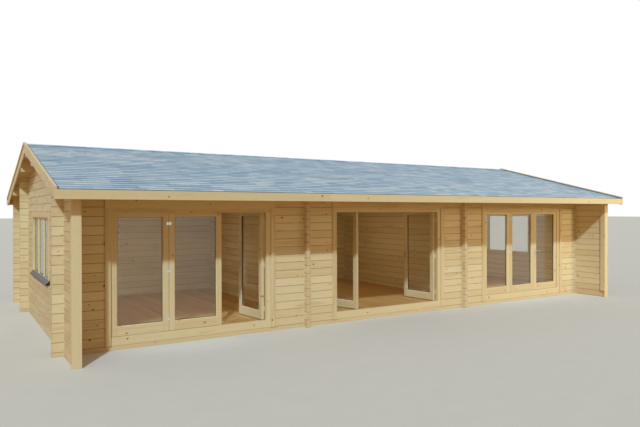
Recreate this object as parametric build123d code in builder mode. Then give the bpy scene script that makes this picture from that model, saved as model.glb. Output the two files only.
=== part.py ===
from build123d import *
import math
import os

os.makedirs("parts", exist_ok=True)

# All sizes in millimetres. X runs along the front, Y = 0 is under the ridge,
# the front faces -Y and Z = 0 is the ground.

# Logs
log_thickness = 70
course_height = 140
log_bevel = 6
long_wall_joint = course_height / 2
cross_wall_joint = 0

# Plan, measured to the faces and centre lines of the walls
end_wall_x = 6050
partition_x = 2000
front_face_y = -2643
inner_wall_y = 1917
back_face_y = 3462
end_log_projection = 160
partition_log_projection = 100
wing_projection = 784

# Roof
ridge_height = 3330
eave_height = 2400
eave_y = 3696
roof_half_length = 6355
shingle_thickness = 10
roof_board_thickness = 19
ridge_cap_width = 125
ridge_cap_thickness = 6
fascia_thickness = 20
fascia_height = 128
bargeboard_thickness = 18
bargeboard_depth = 185
verge_strip_thickness = 18
verge_strip_depth = 40
verge_rise = 30
purlin_width = 70
purlin_height = 210
purlin_places = [-2480, -830, 0, 830, 2480]

# Floor
floor_top = 190
floor_board_thickness = 28
joist_width = 70
joist_spacing = 600

# Wing posts: a U-shaped cap on the front end of each wing wall
post_cheek = 30
post_web = 28
post_depth = 115

# Door sets
door_centres = {"left": -4118, "middle": -45, "right": 3970}
door_clear_width = {"left": 2625, "middle": 2590, "right": 2590}
folding_leaf_width = {"left": 892, "middle": 856, "right": 856}
door_open_angle = {"left": 86, "middle": 85, "right": 0}
fold_angle = {"left": 0, "middle": 75, "right": 0}
door_sill_bottom = course_height / 2
door_sill_top = 200
door_clear_top = 2080
door_head_top = 2170
left_jamb = 60
right_jamb = 110
right_jamb_shown = 85
cover_width = 85
cover_thickness = 22
head_board_height = 130
head_board_lap = 10
inner_cover_width = 70
inner_cover_thickness = 15
inner_cover_setback = 25

# Leaves
leaf_thickness = 56
leaf_gap = 5
passage_gap = 8
stile_width = 100
top_rail = 60
bottom_rail = 155
pane_thickness = 24
pane_bite = 12
pane_edge_gap = 3

# Hinges and handles
knuckle_radius = 6.3
knuckle_facets = 10
knuckle_offset = 6
hinge_length = 80
hinge_flap = 32
hinge_plate = 3
hinge_heights = [390, 1150, 1910]
face_plate_width = 38
face_plate_height = 50
handle_height = 1150
handle_plate_width = 34
handle_plate_height = 215
handle_plate_thickness = 7
handle_plate_corner = 9
handle_neck_length = 42
handle_neck_radius = 8
handle_facets = 8
lever_length = 125
lever_radius = 9
spindle_width = 8
spindle_clearance = 0.3
keyhole_radius = 5
keyhole_drop = 72

# End windows
window_front_y = -1230
window_back_y = 990
window_bottom = 6 * course_height
window_top = 15 * course_height
window_frame_side = 60
window_frame_head = 140
window_frame_bottom = 120
window_mullion = 70
window_light_count = 3
window_cover_width = 75
window_cover_thickness = 20
window_head_board = 100
window_apron_height = 115
window_sill_height = 80
window_sill_projection = 62
window_sill_nose = 25

# Doorway of the inner wall, between two log joints
inner_doorway_width = 800
inner_doorway_bottom = 1.5 * course_height
inner_doorway_top = 15.5 * course_height
inner_doorway_x = 0

# Worked out from the sizes above
half_log = log_thickness / 2
front_wall_y = front_face_y + half_log
back_wall_y = back_face_y - half_log
end_inner_face = end_wall_x - half_log
end_outer_face = end_wall_x + half_log
log_end_x = end_outer_face + end_log_projection
wing_front_y = front_face_y - wing_projection
end_wall_back_y = back_face_y + end_log_projection
partition_front_y = front_face_y - partition_log_projection
roof_slope = (ridge_height - eave_height) / eave_y
slope_factor = math.sqrt(1 + roof_slope**2)
shingle_plumb = shingle_thickness * slope_factor
board_plumb = roof_board_thickness * slope_factor
roof_plumb = shingle_plumb + board_plumb
bargeboard_inner_x = roof_half_length - verge_strip_thickness - bargeboard_thickness
fascia_inner_y = eave_y - fascia_thickness
door_half = {side: width / 2 for side, width in door_clear_width.items()}
clear_left = {side: x - door_half[side] for side, x in door_centres.items()}
clear_right = {side: x + door_half[side] for side, x in door_centres.items()}
frame_left = {side: x - left_jamb for side, x in clear_left.items()}
frame_right = {side: x + right_jamb for side, x in clear_right.items()}
set_gaps = 3 * leaf_gap + passage_gap
passage_leaf_width = {
    side: width - set_gaps - 2 * folding_leaf_width[side]
    for side, width in door_clear_width.items()
}
leaf_bottom = door_sill_top + leaf_gap
leaf_top = door_clear_top - leaf_gap
leaf_inner_y = front_face_y + log_thickness
axis_to_middle = knuckle_offset + leaf_thickness / 2
end_walls = [-end_wall_x, end_wall_x]
cross_walls = [-end_wall_x, -partition_x, partition_x, end_wall_x]
sky = ridge_height + course_height


def save(builder, name):
    builder.part.label = name
    export_step(builder.part, f"parts/{name}.step")


# Roof surface heights


def roof_top_at(y):
    return ridge_height - roof_slope * abs(y)


def roof_underside_at(y):
    return roof_top_at(y) - roof_plumb


def purlin_bottom_at(y):
    lower_edge = abs(y) + purlin_width / 2 if y else 0
    return roof_underside_at(lower_edge) - purlin_height


# Log courses


def joint_heights(bottom, top, first_joint):
    low = math.ceil((bottom - first_joint) / course_height - 0.001)
    high = math.floor((top - first_joint) / course_height + 0.001)
    return [first_joint + n * course_height for n in range(low, high + 1)]


def log_stack_outline(bottom, top, first_joint):
    """Outline of stacked logs, with a bevelled groove at each joint."""
    joints = joint_heights(bottom, top, first_joint)
    inset = half_log - log_bevel
    side = [] if joints and joints[0] <= bottom else [(half_log, bottom)]
    for z in joints:
        if z - log_bevel > bottom:
            side.append((half_log, z - log_bevel))
        side.append((inset, z))
        if z + log_bevel < top:
            side.append((half_log, z + log_bevel))
    if not joints or joints[-1] < top:
        side.append((half_log, top))
    return side + [(-u, z) for u, z in reversed(side)]


def logs_along_x(x_start, x_end, y, bottom, top):
    """Stacks logs that run along X inside the part being built."""
    section = Plane(origin=(x_start, y, 0), x_dir=(0, 1, 0), z_dir=(1, 0, 0))
    with BuildSketch(section) as outline:
        with BuildLine():
            Polyline(*log_stack_outline(bottom, top, long_wall_joint), close=True)
        make_face()
    extrude(outline.sketch, amount=x_end - x_start)


def logs_along_y(y_start, y_end, x, bottom, top):
    """Stacks logs that run along Y inside the part being built."""
    section = Plane(origin=(x, y_start, 0), x_dir=(-1, 0, 0), z_dir=(0, 1, 0))
    with BuildSketch(section) as outline:
        with BuildLine():
            Polyline(*log_stack_outline(bottom, top, cross_wall_joint), close=True)
        make_face()
    extrude(outline.sketch, amount=y_end - y_start)


def runs_between(x_start, x_end, crossings):
    """X ranges of a long wall on either side of the cross walls in its way."""
    edges = [x_start]
    for x in crossings:
        if x_start < x < x_end:
            edges += [x - half_log, x + half_log]
    edges.append(x_end)
    return list(zip(edges[0::2], edges[1::2]))


def trim_to_roof():
    """Cuts away all that reaches above the underside of the roof boards."""
    reach = eave_y + course_height
    with BuildSketch(Plane.YZ.offset(-roof_half_length)) as above:
        with BuildLine():
            Polyline(
                (-reach, roof_underside_at(reach)),
                (0, roof_underside_at(0)),
                (reach, roof_underside_at(reach)),
                (reach, 2 * sky),
                (-reach, 2 * sky),
                close=True,
            )
        make_face()
    extrude(above.sketch, amount=2 * roof_half_length, mode=Mode.SUBTRACT)


def notch_for_purlins(x, places):
    """Opens the top of a cross wall for the purlins."""
    with BuildSketch(Plane.YZ.offset(x - log_thickness)) as notches:
        for y in places:
            with Locations((y, purlin_bottom_at(y))):
                Rectangle(purlin_width, 3 * course_height, align=(Align.CENTER, Align.MIN))
    extrude(notches.sketch, amount=2 * log_thickness, mode=Mode.SUBTRACT)


def block(x_range, y_range, z_range, mode=Mode.ADD):
    """A plain box between two values on each axis."""
    with Locations((x_range[0], y_range[0], z_range[0])):
        Box(
            x_range[1] - x_range[0],
            y_range[1] - y_range[0],
            z_range[1] - z_range[0],
            align=(Align.MIN, Align.MIN, Align.MIN),
            mode=mode,
        )


# Front wall: sill log under the doors, piers between them and logs above. The
# cross walls run through the long walls, whose log ends carry on beyond them.

with BuildPart() as front_sill_log:
    for run in runs_between(-log_end_x, log_end_x, cross_walls):
        logs_along_x(*run, front_wall_y, 0, door_sill_bottom)
save(front_sill_log, "front_sill_log")

pier_edges = [-log_end_x]
for side in door_centres:
    pier_edges += [frame_left[side], frame_right[side]]
pier_edges.append(log_end_x)
with BuildPart() as front_wall:
    for x_start, x_end in zip(pier_edges[0::2], pier_edges[1::2]):
        for run in runs_between(x_start, x_end, cross_walls):
            logs_along_x(*run, front_wall_y, door_sill_bottom, door_head_top)
save(front_wall, "front_wall")

with BuildPart() as front_header:
    for run in runs_between(-log_end_x, log_end_x, cross_walls):
        logs_along_x(*run, front_wall_y, door_head_top, sky)
    trim_to_roof()
save(front_header, "front_header")

# Back wall and the inner wall parallel to it

with BuildPart() as back_wall:
    for run in runs_between(-log_end_x, log_end_x, end_walls):
        logs_along_x(*run, back_wall_y, 0, sky)
    trim_to_roof()
save(back_wall, "back_wall")

with BuildPart() as inner_wall:
    for run in runs_between(-log_end_x, log_end_x, end_walls):
        logs_along_x(*run, inner_wall_y, 0, sky)
    trim_to_roof()
    block(
        (inner_doorway_x - inner_doorway_width / 2, inner_doorway_x + inner_doorway_width / 2),
        (inner_wall_y - log_thickness, inner_wall_y + log_thickness),
        (inner_doorway_bottom, inner_doorway_top),
        mode=Mode.SUBTRACT,
    )
save(inner_wall, "inner_wall")

# End walls with their wings, cut for the window, the gables above, and the
# partitions, which run from the front log ends to the inner wall

inner_wall_front = inner_wall_y - half_log
partition_purlins = [y for y in purlin_places if y < inner_wall_front]

for side, sign in {"left": -1, "right": 1}.items():
    x = sign * end_wall_x
    with BuildPart() as end_wall:
        logs_along_y(wing_front_y, end_wall_back_y, x, 0, window_top)
        block(
            (x - log_thickness, x + log_thickness),
            (window_front_y, window_back_y),
            (window_bottom, window_top + course_height),
            mode=Mode.SUBTRACT,
        )
    save(end_wall, f"end_wall_{side}")

    with BuildPart() as gable:
        logs_along_y(wing_front_y, end_wall_back_y, x, window_top, sky)
        trim_to_roof()
        notch_for_purlins(x, purlin_places)
    save(gable, f"gable_{side}")

    with BuildPart() as partition:
        wall_x = sign * partition_x
        logs_along_y(partition_front_y, inner_wall_front, wall_x, 0, sky)
        trim_to_roof()
        notch_for_purlins(wall_x, partition_purlins)
    save(partition, f"partition_{side}")

# Wing posts

with BuildPart() as wing_posts:
    for x in (-end_wall_x, end_wall_x):
        outer = half_log + post_cheek
        front = wing_front_y - post_web
        block((x - outer, x + outer), (front, wing_front_y), (0, sky))
        for cheek_x in (x - outer, x + half_log):
            block(
                (cheek_x, cheek_x + post_cheek),
                (wing_front_y, front + post_depth),
                (course_height, sky),
            )
    trim_to_roof()
save(wing_posts, "wing_posts")

# Floor: boards on joists, one deck in each room

with BuildPart() as floor:
    joist_top = floor_top - floor_board_thickness
    front_depth = (front_face_y + log_thickness, inner_wall_front)
    rear_depth = (inner_wall_y + half_log, back_face_y - log_thickness)
    decks = [
        (run, front_depth)
        for run in runs_between(-end_inner_face, end_inner_face, cross_walls)
    ]
    decks.append(((-end_inner_face, end_inner_face), rear_depth))
    for x_range, y_range in decks:
        block(x_range, y_range, (joist_top, floor_top))
        gaps = math.ceil((y_range[1] - y_range[0] - joist_width) / joist_spacing)
        step = (y_range[1] - y_range[0] - joist_width) / gaps
        for n in range(gaps + 1):
            joist_y = y_range[0] + n * step
            block(x_range, (joist_y, joist_y + joist_width), (0, joist_top))
save(floor, "floor")

# Roof


def slope_outline(side, top_drop, bottom_drop, y_low, y_high=0):
    """A band that follows one roof slope, with plumb ends."""
    return [
        (side * y_high, roof_top_at(y_high) - top_drop),
        (side * y_low, roof_top_at(y_low) - top_drop),
        (side * y_low, roof_top_at(y_low) - bottom_drop),
        (side * y_high, roof_top_at(y_high) - bottom_drop),
    ]


def along_roof(points, x_start, x_end, mode=Mode.ADD):
    """Extrudes an outline in the YZ plane from one X to another."""
    with BuildSketch(Plane.YZ.offset(x_start)) as outline:
        with BuildLine():
            Polyline(*points, close=True)
        make_face()
    extrude(outline.sketch, amount=x_end - x_start, mode=mode)


strip_drop = verge_strip_depth * slope_factor - verge_rise
bargeboard_drop = bargeboard_depth * slope_factor - verge_rise

for name, side in {"front": -1, "back": 1}.items():
    with BuildPart() as roof_boards:
        boards = slope_outline(side, shingle_plumb, roof_plumb, fascia_inner_y)
        along_roof(boards, -bargeboard_inner_x, bargeboard_inner_x)
    save(roof_boards, f"roof_boards_{name}")

    with BuildPart() as shingles:
        sheet = slope_outline(side, 0, shingle_plumb, eave_y)
        along_roof(sheet, -bargeboard_inner_x, bargeboard_inner_x)
    save(shingles, f"shingles_{name}")

with BuildPart() as ridge_cap:
    cap_y = ridge_cap_width / slope_factor
    cap_plumb = ridge_cap_thickness * slope_factor
    cap_outline = [
        (-cap_y, roof_top_at(cap_y)),
        (-cap_y, roof_top_at(cap_y) + cap_plumb),
        (0, ridge_height + cap_plumb),
        (cap_y, roof_top_at(cap_y) + cap_plumb),
        (cap_y, roof_top_at(cap_y)),
        (0, ridge_height),
    ]
    along_roof(cap_outline, -bargeboard_inner_x, bargeboard_inner_x)
save(ridge_cap, "ridge_cap")

with BuildPart() as fascias:
    for side in (-1, 1):
        inner_z = roof_top_at(fascia_inner_y) - shingle_plumb
        outer_z = roof_top_at(eave_y) - shingle_plumb
        board = [
            (side * fascia_inner_y, inner_z),
            (side * eave_y, outer_z),
            (side * eave_y, outer_z - fascia_height),
            (side * fascia_inner_y, outer_z - fascia_height),
        ]
        along_roof(board, -roof_half_length, roof_half_length)
save(fascias, "fascias")

# Bargeboards with their cover strips, which stand above the shingles and end
# over the fascias

with BuildPart() as bargeboards:
    for sign in (-1, 1):
        inner_x = sign * bargeboard_inner_x
        strip_x = sign * (bargeboard_inner_x + bargeboard_thickness)
        outer_x = sign * roof_half_length
        for side in (-1, 1):
            board = slope_outline(side, -verge_rise, bargeboard_drop, fascia_inner_y)
            strip = slope_outline(side, -verge_rise, strip_drop, fascia_inner_y)
            tail = slope_outline(side, -verge_rise, shingle_plumb, eave_y, fascia_inner_y)
            along_roof(board, min(inner_x, strip_x), max(inner_x, strip_x))
            along_roof(strip, min(strip_x, outer_x), max(strip_x, outer_x))
            along_roof(tail, min(inner_x, outer_x), max(inner_x, outer_x))
save(bargeboards, "bargeboards")

with BuildPart() as purlins:
    for y in purlin_places:
        near = y - purlin_width / 2
        far = y + purlin_width / 2
        bottom = purlin_bottom_at(y)
        middle = [(0, roof_underside_at(0))] if y == 0 else []
        section = [
            (near, bottom),
            (near, roof_underside_at(near)),
            *middle,
            (far, roof_underside_at(far)),
            (far, bottom),
        ]
        along_roof(section, -bargeboard_inner_x, bargeboard_inner_x)
save(purlins, "purlins")

# End windows: frame with three lights, cover boards, sill and glass

window_clear = window_back_y - window_front_y - 2 * window_frame_side
light_width = (window_clear - (window_light_count - 1) * window_mullion) / window_light_count
light_bottom = window_bottom + window_frame_bottom
light_top = window_top - window_frame_head
light_starts = [
    window_front_y + window_frame_side + n * (light_width + window_mullion)
    for n in range(window_light_count)
]
pane_slot = pane_bite + pane_edge_gap
cover_front = window_front_y + window_frame_side - window_cover_width
cover_back = window_back_y - window_frame_side + window_cover_width
sill_base = light_bottom - window_sill_height

for name, sign in {"left": -1, "right": 1}.items():
    x = sign * end_wall_x
    x_faces = (x - half_log, x + half_log)
    pane_faces = (x - pane_thickness / 2, x + pane_thickness / 2)
    outer = sign * end_outer_face
    cover_faces = sorted((outer, outer + sign * window_cover_thickness))
    with BuildPart() as end_window:
        block(x_faces, (window_front_y, window_back_y), (window_bottom, window_top))
        for y in (cover_front, cover_back - window_cover_width):
            side_board = (y, y + window_cover_width)
            block(cover_faces, side_board, (light_bottom, window_top - window_head_board))
        head_board = (window_top - window_head_board, window_top)
        block(cover_faces, (cover_front, cover_back), head_board)
        apron = (sill_base - window_apron_height, sill_base)
        block(cover_faces, (cover_front, cover_back), apron)
        for y in light_starts:
            light = (y, y + light_width)
            slot = (y - pane_slot, y + light_width + pane_slot)
            block(x_faces, light, (light_bottom, light_top), mode=Mode.SUBTRACT)
            slot_height = (light_bottom - pane_slot, light_top + pane_slot)
            block(pane_faces, slot, slot_height, mode=Mode.SUBTRACT)
    save(end_window, f"end_window_{name}")

with BuildPart() as window_sills:
    for sign in (-1, 1):
        outer = sign * end_outer_face
        nose = outer + sign * window_sill_projection
        profile = Plane(origin=(0, cover_front, 0), x_dir=(-1, 0, 0), z_dir=(0, 1, 0))
        with BuildSketch(profile) as sill_profile:
            with BuildLine():
                Polyline(
                    (-outer, sill_base),
                    (-outer, light_bottom),
                    (-nose, sill_base + window_sill_nose),
                    (-nose, sill_base),
                    close=True,
                )
            make_face()
        extrude(sill_profile.sketch, amount=cover_back - cover_front)
save(window_sills, "window_sills")

with BuildPart() as end_glass:
    for x in end_walls:
        for y in light_starts:
            block(
                (x - pane_thickness / 2, x + pane_thickness / 2),
                (y - pane_bite, y + light_width + pane_bite),
                (light_bottom - pane_bite, light_top + pane_bite),
            )
save(end_glass, "end_glass")

# Door frames: jambs, head, sill and the cover boards on both faces of the wall

frame_faces = (front_face_y, front_face_y + log_thickness)
outer_cover_faces = (front_face_y - cover_thickness, front_face_y)
inner_cover_faces = (leaf_inner_y, leaf_inner_y + inner_cover_thickness)

for side in door_centres:
    whole = (frame_left[side], frame_right[side])
    with BuildPart() as door_frame:
        block(whole, frame_faces, (door_sill_bottom, door_head_top))
        clear = (clear_left[side], clear_right[side])
        block(clear, frame_faces, (door_sill_top, door_clear_top), mode=Mode.SUBTRACT)
        left_cover = (clear[0] - cover_width, clear[0])
        right_edge = clear[1] + right_jamb_shown
        right_cover = (right_edge, right_edge + cover_width)
        head_base = door_head_top - head_board_lap
        cover_height = (door_sill_bottom, head_base)
        block(left_cover, outer_cover_faces, cover_height)
        block(right_cover, outer_cover_faces, cover_height)
        head = (left_cover[0], right_cover[1])
        head_height = (head_base, head_base + head_board_height)
        block(head, outer_cover_faces, head_height)
        inner_left = clear[0] - inner_cover_setback
        inner_right = clear[1] + inner_cover_setback
        inner_height = (floor_top, door_head_top)
        block((inner_left - inner_cover_width, inner_left), inner_cover_faces, inner_height)
        block((inner_right, inner_right + inner_cover_width), inner_cover_faces, inner_height)
        inner_span = (inner_left - inner_cover_width, inner_right + inner_cover_width)
        inner_head = (door_clear_top + inner_cover_setback, door_head_top)
        block(inner_span, inner_cover_faces, inner_head)
    save(door_frame, f"door_frame_{side}")

# Leaves. A leaf stands in its own frame: local X along its width, local Y up,
# local Z through its thickness, with the origin in its middle plane.


def leaf_body(plane, width, has_spindle=False):
    """Stiles and rails of one leaf, grooved for its pane."""
    middle_z = (leaf_bottom + leaf_top) / 2
    glass_bottom = leaf_bottom + bottom_rail
    glass_top = leaf_top - top_rail
    with BuildSketch(plane) as frame_face:
        with Locations((width / 2, middle_z)):
            Rectangle(width, leaf_top - leaf_bottom)
        with Locations((width / 2, (glass_bottom + glass_top) / 2)):
            Rectangle(
                width - 2 * stile_width,
                glass_top - glass_bottom,
                mode=Mode.SUBTRACT,
            )
    extrude(frame_face.sketch, amount=leaf_thickness / 2, both=True)
    with BuildSketch(plane) as groove:
        with Locations((width / 2, (glass_bottom + glass_top) / 2)):
            Rectangle(
                width - 2 * stile_width + 2 * pane_slot,
                glass_top - glass_bottom + 2 * pane_slot,
            )
    extrude(groove.sketch, amount=pane_thickness / 2, both=True, mode=Mode.SUBTRACT)
    if has_spindle:
        bore_width = spindle_width + 2 * spindle_clearance
        with BuildSketch(plane) as bore:
            with Locations((width - stile_width / 2, handle_height)):
                Rectangle(bore_width, bore_width)
        extrude(bore.sketch, amount=leaf_thickness, both=True, mode=Mode.SUBTRACT)


def leaf_pane(plane, width):
    """The sealed double pane of one leaf."""
    glass_bottom = leaf_bottom + bottom_rail
    glass_top = leaf_top - top_rail
    with BuildSketch(plane) as pane:
        with Locations((width / 2, (glass_bottom + glass_top) / 2)):
            Rectangle(
                width - 2 * stile_width + 2 * pane_bite,
                glass_top - glass_bottom + 2 * pane_bite,
            )
    extrude(pane.sketch, amount=pane_thickness / 2, both=True)


def passage_axis(side):
    """Hinge axis of the passage leaf, on the inside of the right jamb."""
    return (clear_right[side] - leaf_gap / 2, leaf_inner_y + knuckle_offset)


def folding_axis(side):
    """Hinge axis of the first folding leaf, on the inside of the left jamb."""
    return (clear_left[side] + leaf_gap / 2, leaf_inner_y + knuckle_offset)


def passage_plane(side):
    angle = math.radians(door_open_angle[side])
    along = (-math.cos(angle), math.sin(angle))
    outward = (-math.sin(angle), -math.cos(angle))
    axis = passage_axis(side)
    x = axis[0] + outward[0] * axis_to_middle + along[0] * leaf_gap / 2
    y = axis[1] + outward[1] * axis_to_middle + along[1] * leaf_gap / 2
    return Plane(
        origin=(x, y, 0),
        x_dir=(along[0], along[1], 0),
        z_dir=(-outward[0], -outward[1], 0),
    )


def first_leaf_plane(side):
    """The folding leaf that hangs on the left jamb."""
    angle = math.radians(fold_angle[side])
    along = (math.cos(angle), math.sin(angle))
    outward = (math.sin(angle), -math.cos(angle))
    axis = folding_axis(side)
    x = axis[0] + outward[0] * axis_to_middle + along[0] * leaf_gap / 2
    y = axis[1] + outward[1] * axis_to_middle + along[1] * leaf_gap / 2
    return Plane(
        origin=(x, y, 0),
        x_dir=(along[0], along[1], 0),
        z_dir=(outward[0], outward[1], 0),
    )


def fold_axis_plane(side):
    """Frame at the pin between the two folding leaves, aligned with the first."""
    first = first_leaf_plane(side)
    reach = folding_leaf_width[side] + leaf_gap / 2
    pin = first.from_local_coords((reach, 0, axis_to_middle))
    return Plane(origin=pin, x_dir=first.x_dir, z_dir=first.z_dir)


def second_leaf_plane(side):
    """The folding leaf that hangs on the first one, folded back on it."""
    angle = math.radians(fold_angle[side])
    along = (math.cos(angle), -math.sin(angle))
    outward = (-math.sin(angle), -math.cos(angle))
    pin = fold_axis_plane(side).origin
    x = pin.X - outward[0] * axis_to_middle + along[0] * leaf_gap / 2
    y = pin.Y - outward[1] * axis_to_middle + along[1] * leaf_gap / 2
    return Plane(
        origin=(x, y, 0),
        x_dir=(along[0], along[1], 0),
        z_dir=(outward[0], outward[1], 0),
    )


with BuildPart() as folding_glass:
    for side in door_centres:
        leaf_pane(first_leaf_plane(side), folding_leaf_width[side])
        leaf_pane(second_leaf_plane(side), folding_leaf_width[side])
save(folding_glass, "folding_glass")

for side in door_centres:
    with BuildPart() as folding_leaves:
        leaf_body(first_leaf_plane(side), folding_leaf_width[side])
        leaf_body(second_leaf_plane(side), folding_leaf_width[side])
    save(folding_leaves, f"folding_leaves_{side}")

    with BuildPart() as passage_leaf:
        leaf_body(passage_plane(side), passage_leaf_width[side], has_spindle=True)
    save(passage_leaf, f"passage_leaf_{side}")

    with BuildPart() as passage_glass:
        leaf_pane(passage_plane(side), passage_leaf_width[side])
    save(passage_glass, f"passage_glass_{side}")

# Handles: a lever and plate on each face, joined by the spindle

for side in door_centres:
    plane = passage_plane(side)
    handle_x = passage_leaf_width[side] - stile_width / 2
    plate_z = leaf_thickness / 2
    neck_z = plate_z + handle_plate_thickness + handle_neck_length
    with BuildPart() as handle:
        with BuildSketch(plane) as spindle:
            with Locations((handle_x, handle_height)):
                Rectangle(spindle_width, spindle_width)
        extrude(spindle.sketch, amount=neck_z, both=True)
        for face in (-1, 1):
            with BuildSketch(plane.offset(face * plate_z)) as plate:
                plate_centre = handle_height - keyhole_drop / 2
                with Locations((handle_x, plate_centre)):
                    plate_outline = Rectangle(handle_plate_width, handle_plate_height)
                chamfer(plate_outline.vertices(), length=handle_plate_corner)
                with Locations((handle_x, handle_height - keyhole_drop)):
                    RegularPolygon(keyhole_radius, handle_facets, mode=Mode.SUBTRACT)
            extrude(plate.sketch, amount=face * handle_plate_thickness)
            with BuildSketch(plane.offset(face * plate_z)) as neck:
                with Locations((handle_x, handle_height)):
                    RegularPolygon(handle_neck_radius, handle_facets)
            extrude(neck.sketch, amount=face * (neck_z - plate_z))
            lever_start = plane.from_local_coords(
                (handle_x + lever_radius, handle_height, face * neck_z)
            )
            lever_plane = Plane(origin=lever_start, x_dir=(0, 0, 1), z_dir=-plane.x_dir)
            with BuildSketch(lever_plane) as lever:
                RegularPolygon(lever_radius, handle_facets)
            extrude(lever.sketch, amount=lever_length)
    save(handle, f"door_handle_{side}")

# Hinges: butt hinges on the jambs, and face hinges between the folding leaves


def knuckle(x, y, z, length):
    """The barrel of a hinge, with flats too small to see."""
    with BuildSketch(Plane.XY.offset(z - length / 2)) as barrel:
        with Locations((x, y)):
            RegularPolygon(knuckle_radius, knuckle_facets)
    extrude(barrel.sketch, amount=length)


with BuildPart() as door_hinges:
    for side in door_centres:
        for sign, (axis_x, axis_y) in {1: passage_axis(side), -1: folding_axis(side)}.items():
            for z in hinge_heights:
                knuckle(axis_x, axis_y, z, hinge_length)
                flap_x = sorted((axis_x, axis_x + sign * hinge_flap / 2))
                flap_z = (z - hinge_length / 2, z + hinge_length / 2)
                block(flap_x, (leaf_inner_y, leaf_inner_y + hinge_plate), flap_z)
        pin_plane = fold_axis_plane(side)
        for z in hinge_heights:
            knuckle(pin_plane.origin.X, pin_plane.origin.Y, z, face_plate_height)
            for leaf, reach in (
                (first_leaf_plane(side), folding_leaf_width[side]),
                (second_leaf_plane(side), 0),
            ):
                outer_face = leaf.offset(leaf_thickness / 2)
                inward = -1 if reach else 1
                start = reach - inward * leaf_gap / 2
                with BuildSketch(outer_face) as plate:
                    with Locations((start + inward * face_plate_width / 2, z)):
                        Rectangle(face_plate_width, face_plate_height)
                extrude(plate.sketch, amount=hinge_plate)
save(door_hinges, "door_hinges")
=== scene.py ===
import itertools
import math
import random

import bmesh
import bpy
from mathutils import Matrix, Vector


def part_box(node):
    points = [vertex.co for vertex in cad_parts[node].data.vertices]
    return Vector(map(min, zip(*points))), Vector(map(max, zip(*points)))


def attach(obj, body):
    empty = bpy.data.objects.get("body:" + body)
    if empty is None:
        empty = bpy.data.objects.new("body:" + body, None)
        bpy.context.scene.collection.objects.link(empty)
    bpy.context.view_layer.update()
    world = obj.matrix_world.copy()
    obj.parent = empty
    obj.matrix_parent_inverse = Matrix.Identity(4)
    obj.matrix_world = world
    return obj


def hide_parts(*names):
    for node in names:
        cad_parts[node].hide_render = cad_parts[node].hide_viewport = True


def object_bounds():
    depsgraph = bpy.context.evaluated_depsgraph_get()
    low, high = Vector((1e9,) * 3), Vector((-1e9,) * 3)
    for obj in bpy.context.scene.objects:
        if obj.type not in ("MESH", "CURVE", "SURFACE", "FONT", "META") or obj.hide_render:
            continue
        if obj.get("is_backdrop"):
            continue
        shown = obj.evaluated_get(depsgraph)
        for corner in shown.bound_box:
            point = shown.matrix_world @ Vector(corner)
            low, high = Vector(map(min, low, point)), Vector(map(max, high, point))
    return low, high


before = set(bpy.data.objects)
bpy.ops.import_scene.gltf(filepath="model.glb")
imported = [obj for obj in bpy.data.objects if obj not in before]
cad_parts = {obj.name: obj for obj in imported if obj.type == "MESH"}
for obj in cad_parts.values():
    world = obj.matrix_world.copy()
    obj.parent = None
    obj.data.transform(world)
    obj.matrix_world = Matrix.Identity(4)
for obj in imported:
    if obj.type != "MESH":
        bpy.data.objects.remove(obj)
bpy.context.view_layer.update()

random.seed(12)

X, Y, Z = range(3)

# Sizes in metres, as in the frame

COURSE = 0.14
LOG = 0.07
LONG_JOINT = 0.07
CROSS_JOINT = 0.0
SLOPE = 930 / 3696
SLOPE_FACTOR = math.sqrt(1 + SLOPE**2)
SLOPE_ANGLE = math.atan(SLOPE)
RIDGE_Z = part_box("shingles_front")[1].z
EAVE_Y = -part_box("shingles_front")[0].y
ROOF_LENGTH = EAVE_Y * SLOPE_FACTOR
SHINGLE_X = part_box("shingles_front")[1].x
SHINGLE = 0.01
SHINGLE_PLUMB = SHINGLE * SLOPE_FACTOR
DECK_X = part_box("roof_boards_front")[1].x
DECK_LENGTH = -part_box("roof_boards_front")[0].y * SLOPE_FACTOR
FRONT_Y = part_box("front_wall")[0].y
WALL_INNER_Y = FRONT_Y + LOG

LEAF_GAP = 0.005
PASSAGE_GAP = 0.008
CLEAR = {"left": (-5.4305, -2.8055), "middle": (-1.34, 1.25), "right": (2.675, 5.265)}
FOLDING_WIDTH = {"left": 0.892, "middle": 0.856, "right": 0.856}
PASSAGE_WIDTH = {
    side: high - low - 3 * LEAF_GAP - PASSAGE_GAP - 2 * FOLDING_WIDTH[side]
    for side, (low, high) in CLEAR.items()
}
OPEN_ANGLE = {"left": 86, "middle": 85, "right": 0}
FOLD_ANGLE = {"left": 0, "middle": 75, "right": 0}
LEAF_HALF = 0.028
LEAF_LOW = 0.205
LEAF_HIGH = 2.075
STILE = 0.088
TOP_RAIL = 0.048
BOTTOM_RAIL = 0.143
RAIL_SLIT = 0.0003
BEAD = 0.012
SHEET = 0.004
PANE_HALF = 0.012
KNUCKLE_OFFSET = 0.006
AXIS_TO_MIDDLE = KNUCKLE_OFFSET + LEAF_HALF
HINGE_Y = WALL_INNER_Y + KNUCKLE_OFFSET
HINGE_HEIGHTS = (0.39, 1.15, 1.91)
HANDLE_Z = 1.15
HANDLE_INSET = 0.05


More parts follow.
